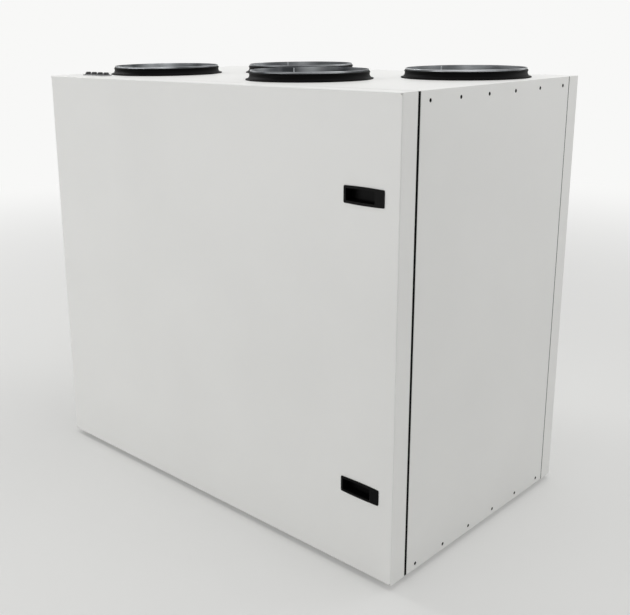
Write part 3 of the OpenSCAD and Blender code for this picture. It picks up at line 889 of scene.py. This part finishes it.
@dataclass
class Cabinet:
    """The standing shell: its panels, door gaskets, spigots and cable entry."""

    row_count: int = 6
    row_front_mm: float = 28.7
    row_rear_mm: float = 27.5
    row_drop_mm: float = 17.4
    row_rise_mm: float = 12.2
    row_sink_mm: float = 1.05
    hole_mm: float = 3.0
    hole_play_mm: float = 0.05
    head_mm: float = 3.65
    head_height_mm: float = 1.0
    socket_depth_mm: float = 0.6
    back_row_count: int = 11
    back_row_edge_mm: float = 28.7
    seam_front_mm: float = 270.5
    seam_open_mm: float = 1.1
    seam_depth_mm: float = 5.0
    strip_sink_mm: float = 0.1
    strip_nose_mm: float = 0.3
    strip_squeeze_mm: float = 0.15
    round_steps: int = 6
    lip_gap_mm: float = 0.4
    lip_end_mm: float = 0.8
    lip_round_mm: float = 1.5
    weld_deg: float = 148.0
    weld_half_mm: float = 1.7
    weld_rise_mm: float = 0.9
    weld_sink_mm: float = 0.3
    weld_end_mm: float = 1.5
    weld_taper: float = 0.35
    collar_edge_mm: float = 0.25
    seal_edge_mm: float = 0.4
    ring_steps: int = 2
    edge_mm: dict[str, float] = field(default_factory=lambda: {
        "cable_plate": 0.6, "cable_grommets": 0.5, "top_gasket": 1.5, "bottom_gasket": 1.5})

    def row_heights(self) -> tuple[float, float]:
        """Gives the heights of the lower and the upper row of screws."""
        low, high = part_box("right_panel")
        return (low.z + self.row_rise_mm * MM, high.z - self.row_drop_mm * MM)

    def side_seats(self, hand: Hand) -> list[Seat]:
        """Gives the screws that hold a side sheet to the roof and the base, sunk in their holes.

        Args:
            hand: The side.

        Returns:
            The lower row's seats, then the upper row's.
        """
        panel = hand.node("panel")
        low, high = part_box(panel)
        outer, _ = hand.faces_mm(panel)
        x = (outer - hand.value * self.row_sink_mm) * MM
        first, last = low.y + self.row_front_mm * MM, high.y - self.row_rear_mm * MM
        facing = RIGHTWARD * hand.value
        return [
            seat for z in self.row_heights()
            for seat in seat_row(Vector((x, first, z)), Vector((x, last, z)), self.row_count, facing)]

    def back_seats(self) -> list[Seat]:
        """Gives the screws that hold the back panel, sunk in their holes."""
        low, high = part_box("back_panel")
        first, last = low.x + self.back_row_edge_mm * MM, high.x - self.back_row_edge_mm * MM
        y = high.y - self.row_sink_mm * MM
        return [
            seat for z in self.row_heights()
            for seat in seat_row(Vector((first, y, z)), Vector((last, y, z)), self.back_row_count, BACKWARD)]

    def build_sheet(self, panel: str, seats: Sequence[Seat]) -> None:
        """Opens a panel's rear seam, where the bent sheets meet, and dimples its screw holes wider.

        Args:
            panel: The panel's node.
            seats: The panel's screws.
        """
        form = welded(panel)
        widening = (self.head_mm + self.hole_play_mm - self.hole_mm) * MM
        for point in form.verts:
            if abs(point.co.y / MM - self.seam_front_mm) < WELD_MM:
                point.co.y -= self.seam_open_mm * MM
            for seat in seats:
                spoke = point.co - seat.place
                depth = spoke.dot(seat.facing)
                spoke -= seat.facing * depth
                on_wall = abs(spoke.length / MM - self.hole_mm) < self.hole_play_mm
                if on_wall and abs(depth) < self.hole_mm * MM:
                    point.co += spoke.normalized() * widening
        stand_in(panel, "_sheet", form, Body.CABINET)

    def build_seam(self, hand: Hand) -> None:
        """Lays a near-black strip in the seam between a side sheet and the back panel, which keeps the seam
        line dark.

        Args:
            hand: The side.
        """
        panel = hand.node("panel")
        low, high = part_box(panel)
        outer, _ = hand.faces_mm(panel)
        front, rear = self.seam_front_mm - self.seam_open_mm, high.y / MM
        half, centre = (rear - front) / 2.0 + self.strip_squeeze_mm, (front + rear) / 2.0
        nose = outer - hand.value * (self.strip_sink_mm + self.strip_nose_mm)
        root = outer - hand.value * (self.seam_depth_mm + self.strip_squeeze_mm)
        outline = [
            (nose + hand.value * self.strip_nose_mm * math.cos(a), centre + half * math.sin(a))
            for a in sweep(-90.0, 90.0, self.round_steps)]
        outline += [(root, centre + half), (root, centre - half)]
        form = upright(outline, low.z + self.strip_sink_mm * MM, high.z - self.strip_sink_mm * MM)
        mesh = shaded(form, Surface.FOAM_STRIP.material())
        add_piece(hand.node("seam_strip"), mesh, Body.CABINET)

    def build_gasket(self, hand: Hand) -> None:
        """Gives an upright door gasket the soft lip that fills the gap at the cabinet's side.

        Args:
            hand: The side.
        """
        node, panel = hand.node("gasket"), hand.node("panel")
        low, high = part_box(panel)
        front, back = (corner.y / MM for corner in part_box(node))
        outer, _ = hand.faces_mm(panel)
        _, root = hand.faces_mm(node)
        lip = outer - hand.value * self.lip_gap_mm
        corner = [
            (self.lip_round_mm * (1.0 - math.cos(a)), self.lip_round_mm * (1.0 - math.sin(a)))
            for a in sweep(0.0, 90.0, self.round_steps)]
        outline = [(lip - hand.value * x, front + y) for x, y in corner]
        outline += [(root + hand.value * x, front + y) for x, y in reversed(corner)]
        outline += [(root, back), (lip, back)]
        form = upright(outline, low.z + self.lip_end_mm * MM, high.z - self.lip_end_mm * MM)
        stand_in(node, "_lip", form, Body.CABINET)

    def build_weld(self, spigot: str) -> None:
        """Runs a weld bead down a collar's bore, where the ends of the rolled strip meet.

        Args:
            spigot: The spigot's place, which its nodes' names start with.
        """
        low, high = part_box(spigot + "_collar")
        bore = next(m["dims"]["r_mm"] for m in frame["record"]["mounts"] if m["name"] == spigot + "_duct")
        centre = middle(spigot + "_collar")
        turn = Matrix.Rotation(math.radians(self.weld_deg), 3, "Z")
        bottom, top = low.z / MM + self.weld_end_mm, high.z / MM - self.weld_end_mm
        rings = []
        for z, share in (
                (bottom, self.weld_taper), (bottom + self.weld_end_mm, 1.0),
                (top - self.weld_end_mm, 1.0), (top, self.weld_taper)):
            rise, half = self.weld_sink_mm + share * self.weld_rise_mm, share * self.weld_half_mm
            section = [
                Vector((bore + self.weld_sink_mm - rise * math.cos(a), half * math.sin(a), 0.0))
                for a in sweep(-90.0, 90.0, self.round_steps)]
            rings.append([Vector((centre.x, centre.y, z * MM)) + turn @ (point * MM) for point in section])
        mesh = shaded(loft(rings), Surface.ZINC_SHEET.material())
        add_piece(spigot + "_collar_weld", mesh, Body.CABINET)

    def build(self) -> None:
        """Adds the shell's screws, seam strips, gasket lips and welds, and eases the small mouldings."""
        side_seats = {hand: self.side_seats(hand) for hand in Hand}
        back_seats = self.back_seats()
        screw = Screw(
            Surface.BLACK_SCREW, head_radius=self.head_mm, head_height=self.head_height_mm,
            socket_depth=self.socket_depth_mm)
        screw.spread(
            "panel_screws", sum(side_seats.values(), []) + back_seats, Body.CABINET, "black_plastic")
        self.build_sheet("back_panel", back_seats)
        for hand, seats in side_seats.items():
            self.build_sheet(hand.node("panel"), seats)
            self.build_seam(hand)
            self.build_gasket(hand)
        for node, radius in self.edge_mm.items():
            Eased(node, Body.CABINET, radius).build()
        for spigot in SPIGOTS:
            Eased(spigot + "_collar", Body.CABINET, self.collar_edge_mm, self.ring_steps, ring=True).build()
            Eased(spigot + "_seal", Body.CABINET, self.seal_edge_mm, self.ring_steps, ring=True).build()
            self.build_weld(spigot)


@dataclass
class Hinges:
    """The two black hinges on the hidden side."""

    leaf_edge_mm: float = 0.6
    leaf_sheet_mm: float = 3.0
    screw_spread_mm: float = 40.0
    screw_edge_mm: float = 10.0

    def seats(self, leaves: Sequence[str], forward: bool) -> list[Seat]:
        """Gives two screws on each leaf.

        Args:
            leaves: The leaves' nodes.
            forward: Whether the leaves' free ends point to the front.

        Returns:
            The screws' seats.
        """
        seats = []
        face_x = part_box("left_panel")[0].x - self.leaf_sheet_mm * MM
        half, edge = self.screw_spread_mm / 2.0 * MM, self.screw_edge_mm * MM
        for leaf in leaves:
            low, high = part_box(leaf)
            y, z = low.y + edge if forward else high.y - edge, middle(leaf).z
            seats += seat_row(Vector((face_x, y, z - half)), Vector((face_x, y, z + half)), 2, LEFTWARD)
        return seats

    def build(self) -> None:
        """Eases the leaves and adds their screws."""
        fixed, moving = ("upper_hinge_leaf", "lower_hinge_leaf"), ("upper_door_leaf", "lower_door_leaf")
        for leaves, body in ((fixed, Body.CABINET), (moving, Body.DOOR)):
            for leaf in leaves:
                Eased(leaf, body, self.leaf_edge_mm).build()
        screw = Screw(Surface.BLACK_SCREW)
        screw.spread("hinge_screws", self.seats(fixed, False), Body.CABINET, "black_plastic")
        screw.spread("door_leaf_screws", self.seats(moving, True), Body.DOOR, "black_plastic")


@dataclass
class Door:
    """The service door's pulls and inner sheet."""

    pull_edge_mm: float = 0.7
    liner_edge_mm: float = 42.0
    liner_columns: int = 9
    liner_rows: int = 8
    screw_height_mm: float = 1.4

    def liner_seats(self) -> list[Seat]:
        """Gives the screws round the inner sheet, inside the gasket's track."""
        low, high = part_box("door_liner")
        inset = Vector((1.0, 1.0, 1.0)) * self.liner_edge_mm * MM
        (left, _, bottom), (right, _, top), y = low + inset, high - inset, high.y
        seats = []
        for z in (bottom, top):
            seats += seat_row(Vector((left, y, z)), Vector((right, y, z)), self.liner_columns, BACKWARD)
        for x in (left, right):
            seats += seat_row(Vector((x, y, bottom)), Vector((x, y, top)), self.liner_rows, BACKWARD)[1:-1]
        return seats

    def build(self) -> None:
        """Eases the pulls and screws the inner sheet on."""
        for node in ("upper_handle", "lower_handle"):
            Eased(node, Body.DOOR, self.pull_edge_mm).build()
        Screw(Surface.ZINC_SCREW, head_height=self.screw_height_mm).spread(
            "liner_screws", self.liner_seats(), Body.DOOR, "galvanised_steel")


@dataclass
class Strap:
    """The bowed webbing pull on the exchanger's end plate."""

    node: str = "exchanger_strap"
    bow_mm: float = 11.0
    sheet_mm: float = 2.2
    edge_mm: float = 0.9
    tail_mm: float = 34.0
    steps: int = 56
    slope_step_mm: float = 0.5
    corner_steps: int = 4
    stitch_inset_mm: float = 4.0
    stitch_pitch_mm: float = 4.4
    screw_radius_mm: float = 5.2
    socket_radius_mm: float = 2.0

    def bow(self, along: float) -> float:
        """Gives how far the strap stands off the plate.

        Args:
            along: The height above the strap's lower end in mm.

        Returns:
            The stand-off in mm: none on the tails, and a smooth bow between them.
        """
        low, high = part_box(self.node)
        run = (high.z - low.z) / MM - 2.0 * self.tail_mm
        share = min(1.0, max(0.0, (along - self.tail_mm) / run))
        return self.bow_mm * math.sin(math.pi * share) ** 2

    def section(self) -> list[tuple[float, float]]:
        """Gives the woven edge's outline, as offsets across the strap and off the plate in mm."""
        low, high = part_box(self.node)
        side = (high.x - low.x) / 2.0 / MM - self.edge_mm
        near, far = self.edge_mm, self.sheet_mm - self.edge_mm
        corners = ((side, far, 0.0), (-side, far, 90.0), (-side, near, 180.0), (side, near, 270.0))
        return [
            (x + self.edge_mm * math.cos(a), y + self.edge_mm * math.sin(a))
            for x, y, start in corners for a in sweep(start, start + 90.0, self.corner_steps)]

    def build_webbing(self) -> None:
        """Lofts the strap along its bow, and puts it in the CAD piece's place."""
        low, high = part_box(self.node)
        length, step, centre_x = (high.z - low.z) / MM, self.slope_step_mm, middle(self.node).x
        section = self.section()
        rings = []
        for i in range(self.steps + 1):
            along = length * i / self.steps
            bow = self.bow(along)
            lean = math.atan((self.bow(along + step) - self.bow(along - step)) / (2.0 * step))
            rings.append([
                Vector((
                    centre_x + x * MM, high.y - (bow + off * math.cos(lean)) * MM,
                    low.z + (along - off * math.sin(lean)) * MM))
                for x, off in section])
        stand_in(self.node, "_webbing", loft(rings), Body.CABINET)

    def tails(self) -> list[Vector]:
        """Gives the middle of each tail's outer face."""
        low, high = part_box(self.node)
        x, y, half = middle(self.node).x, high.y - self.sheet_mm * MM, self.tail_mm / 2.0 * MM
        return [Vector((x, y, z)) for z in (low.z + half, high.z - half)]

    def stitch_seats(self) -> list[Seat]:
        """Gives the stitches sewn in a box round each tail."""
        low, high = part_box(self.node)
        inset = self.stitch_inset_mm * MM
        up, across = UPWARD * (self.tail_mm / 2.0 * MM - inset), RIGHTWARD * ((high.x - low.x) / 2.0 - inset)
        seats = []
        for centre in self.tails():
            for sign in (-1.0, 1.0):
                for out, along in ((across, up), (up, across)):
                    count = round(2.0 * along.length / (self.stitch_pitch_mm * MM))
                    line, reach = centre + out * sign, along * (1.0 - 1.0 / count)
                    seats += seat_row(line - reach, line + reach, count, along.normalized())
        return seats

    def build(self) -> None:
        """Makes the webbing, its box stitching and the two screws that hold it."""
        self.build_webbing()
        Stitch(Surface.THREAD).spread("strap_stitches", self.stitch_seats(), Body.CABINET, "black_webbing")
        screw = Screw(
            Surface.ZINC_SCREW, head_radius=self.screw_radius_mm, socket_radius=self.socket_radius_mm)
        screw.spread(
            "strap_screws", [Seat(centre, FORWARD) for centre in self.tails()], Body.CABINET,
            "galvanised_steel")


@dataclass
class ServiceSide:
    """What shows behind the door: covers, filters and the exchanger's end plate."""

    cover_ring_mm: float = 8.0
    cover_face_mm: float = 4.0
    cover_screws: int = 6
    cover_start_deg: float = 30.0
    plate_face_mm: float = 2.0
    plate_side_mm: float = 188.0
    plate_corner_mm: tuple[float, float] = (91.5, 195.65)
    box_face_mm: float = 3.0
    box_half_mm: tuple[float, float] = (204.0, 59.0)
    edge_mm: dict[str, float] = field(default_factory=lambda: {
        "control_box": 1.2, "exchanger_end_plate": 0.8, "left_fan_cover": 0.8, "right_fan_cover": 0.8,
        "left_filter": 0.9, "right_filter": 0.9})

    def fan_seats(self) -> list[Seat]:
        """Gives the ring of screws on each fan cover."""
        seats = []
        for node in ("left_fan_cover", "right_fan_cover"):
            low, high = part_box(node)
            radius = (high.x - low.x) / 2.0 - self.cover_ring_mm * MM
            centre = Vector((middle(node).x, high.y - self.cover_face_mm * MM, middle(node).z))
            seats += seat_ring(centre, radius, self.cover_screws, self.cover_start_deg)
        return seats

    def flange_seats(self, node: str, face_mm: float, offsets_mm: Points) -> list[Seat]:
        """Gives screws at offsets across and up from a piece's middle, on a flange before its back."""
        centre, y = middle(node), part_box(node)[1].y - face_mm * MM
        return [Seat(Vector((centre.x + x * MM, y, centre.z + z * MM)), FORWARD) for x, z in offsets_mm]

    def cover_seats(self) -> list[Seat]:
        """Gives the screws of the fan covers, the end plate and the control box."""
        corner_x, corner_z = self.plate_corner_mm
        plate = [(-self.plate_side_mm, 0.0), (self.plate_side_mm, 0.0)]
        plate += [(x, z) for x in (-corner_x, corner_x) for z in (-corner_z, corner_z)]
        half_x, half_z = self.box_half_mm
        box = [(x, z) for x in (-half_x, 0.0, half_x) for z in (-half_z, half_z)]
        return (
            self.fan_seats() + self.flange_seats("exchanger_end_plate", self.plate_face_mm, plate)
            + self.flange_seats("control_box", self.box_face_mm, box))

    def build(self) -> None:
        """Eases the covers, and adds the screws and the strap."""
        for node, radius in self.edge_mm.items():
            Eased(node, Body.CABINET, radius).build()
        Screw(Surface.ZINC_SCREW).spread("cover_screws", self.cover_seats(), Body.CABINET, "galvanised_steel")
        Strap().build()


@dataclass
class Softbox:
    """A rectangular studio lamp."""

    name: str
    place: Vector
    aim: Vector
    size: tuple[float, float]
    power: float

    def build(self) -> None:
        """Hangs the lamp and points it at its aim."""
        lamp = bpy.data.lights.new(self.name, "AREA")
        lamp.shape = "RECTANGLE"
        lamp.size, lamp.size_y = self.size
        lamp.energy = self.power
        holder = link_object(self.name, lamp)
        holder.location = self.place
        holder.rotation_euler = (self.aim - self.place).to_track_quat("-Z", "Y").to_euler()
        holder.visible_camera = False


@dataclass
class Studio:
    """Pale floor, soft light, and the camera at the photograph's angle."""

    backdrop: str = "#F8F8F7"
    floor_colour: str = "#F2F2F0"
    floor_seen: str = "#E2E2E0"
    floor_radius: float = 40.0
    floor_steps: int = 128
    floor_glow: float = 0.2
    fade_from: float = 0.8
    fade_to: float = 4.5
    fill: float = 0.4
    eye: Vector = field(default_factory=lambda: Vector((1.41972, -1.54316, 1.04252)))
    ahead: Vector = field(default_factory=lambda: Vector((-0.676436, 0.689544, -0.258773)))
    across: Vector = field(default_factory=lambda: Vector((0.716071, 0.697922, -0.012091)))
    lens_mm: float = 51.701
    sensor_mm: float = 36.0
    shift: tuple[float, float] = (0.071956, -0.059367)

    def lamps(self) -> list[Softbox]:
        """Gives the studio's lamps."""
        unit, roof = Vector((0.0, 0.0, 0.5)), Vector((0.0, 0.0, 0.9))
        low_left = Vector((-0.5, -0.31, 0.0))
        return [
            Softbox("overhead_softbox", Vector((0.2, 0.3, 3.4)), roof, (3.0, 3.0), 53.0),
            Softbox("front_softbox", Vector((-1.6, -3.4, 0.55)), low_left, (2.4, 1.1), 33.0),
            Softbox("camera_softbox", Vector((2.6, -2.9, 1.6)), unit, (1.8, 1.8), 10.0),
            Softbox("side_softbox", Vector((4.0, 0.6, 1.4)), unit, (2.2, 2.0), 14.0),
            Softbox("left_softbox", Vector((-3.2, -0.6, 2.4)), roof, (0.7, 1.2), 26.0),
            Softbox("rear_softbox", Vector((2.5, 4.0, 2.0)), unit, (2.4, 2.0), 30.0),
        ]

    def seen(self, tree: Tree) -> Socket:
        """Tells camera, mirror and glass rays from the rays that light the unit.

        Args:
            tree: The tree that asks.

        Returns:
            A socket that is 1 for the rays that see the backdrop.
        """
        path = add_node(tree, "ShaderNodeLightPath").outputs
        straight = add_node(tree, "ShaderNodeMath", {
            0: path["Is Camera Ray"], 1: path["Is Glossy Ray"]}, operation="ADD")
        seen = add_node(tree, "ShaderNodeMath", {
            0: straight.outputs[0], 1: path["Is Transmission Ray"]}, operation="ADD", use_clamp=True)
        return seen.outputs[0]

    def build_world(self) -> None:
        """Sets the fill light, and the white that the camera sees."""
        world = bpy.data.worlds.new("studio_world")
        world.use_nodes = True
        tree = world.node_tree
        tree.nodes.clear()
        fill = add_node(tree, "ShaderNodeBackground", {"Strength": self.fill})
        white = add_node(tree, "ShaderNodeBackground", {"Color": linear(self.backdrop)})
        mixed = add_node(tree, "ShaderNodeMixShader", {
            0: self.seen(tree), 1: fill.outputs[0], 2: white.outputs[0]})
        add_node(tree, "ShaderNodeOutputWorld", {0: mixed.outputs[0]})
        bpy.context.scene.world = world

    def floor_paper(self) -> bpy.types.Material:
        """Makes the floor's paper, which keeps the shadow and fades to the backdrop."""
        paper = bpy.data.materials.new("matt_studio_paper")
        paper.use_nodes = True
        tree = paper.node_tree
        tree.nodes.clear()
        place = add_node(tree, "ShaderNodeTexCoord").outputs["Object"]
        distance = add_node(tree, "ShaderNodeVectorMath", {0: place}, operation="LENGTH")
        fade = add_node(tree, "ShaderNodeMapRange", {
            "Value": distance.outputs["Value"], "From Min": self.fade_from, "From Max": self.fade_to,
            "To Min": self.floor_glow}, interpolation_type="SMOOTHSTEP")
        seen = self.seen(tree)
        glow = add_node(tree, "ShaderNodeMath", {0: fade.outputs[0], 1: seen}, operation="MULTIPLY")
        tone = add_node(tree, "ShaderNodeMix", {
            0: seen, 6: linear(self.floor_colour), 7: linear(self.floor_seen)}, data_type="RGBA")
        matt = add_node(tree, "ShaderNodeBsdfDiffuse", {"Color": tone.outputs[2]})
        white = add_node(tree, "ShaderNodeEmission", {"Color": linear(self.backdrop)})
        mixed = add_node(tree, "ShaderNodeMixShader", {
            0: glow.outputs[0], 1: matt.outputs[0], 2: white.outputs[0]})
        add_node(tree, "ShaderNodeOutputMaterial", {0: mixed.outputs[0]})
        return paper

    def build_floor(self) -> None:
        """Lays the round floor."""
        form = bmesh.new()
        bmesh.ops.create_circle(form, cap_ends=True, segments=self.floor_steps, radius=self.floor_radius)
        mesh = bpy.data.meshes.new("studio_floor")
        form.to_mesh(mesh)
        form.free()
        mesh.materials.append(self.floor_paper())
        link_object("studio_floor", mesh)

    def build_camera(self) -> None:
        """Sets the camera where the photograph was taken from."""
        lens = bpy.data.cameras.new("photo_camera")
        lens.lens = self.lens_mm
        lens.sensor_width = self.sensor_mm
        lens.shift_x, lens.shift_y = self.shift
        ahead = self.ahead.normalized()
        up = self.across.cross(ahead).normalized()
        turn = Matrix((ahead.cross(up), up, -ahead)).transposed()
        camera = link_object("photo_camera", lens)
        camera.matrix_world = Matrix.Translation(self.eye) @ turn.to_4x4()
        bpy.context.scene.camera = camera

    def build(self) -> None:
        """Sets up the whole studio."""
        self.build_camera()
        self.build_world()
        self.build_floor()
        for lamp in self.lamps():
            lamp.build()
        bpy.context.scene.view_settings.view_transform = "Standard"


def dress_nodes() -> None:
    """Gives every CAD node its finish."""
    for node in NODE_SLOT:
        shown, finish = frame["nodes"][node], node_material(node)
        if not shown.material_slots:
            shown.data.materials.append(finish)
        for place in shown.material_slots:
            place.material = finish
        LOG.info("%s: %s", node, finish.name)


def main() -> None:
    """Builds the studio and dresses the unit."""
    logging.basicConfig(level=logging.INFO, format="%(name)s: %(message)s")
    Studio().build()
    dress_nodes()
    for assembly in (Cabinet(), Hinges(), Door(), ServiceSide()):
        assembly.build()


if __name__ == "__main__":
    main()
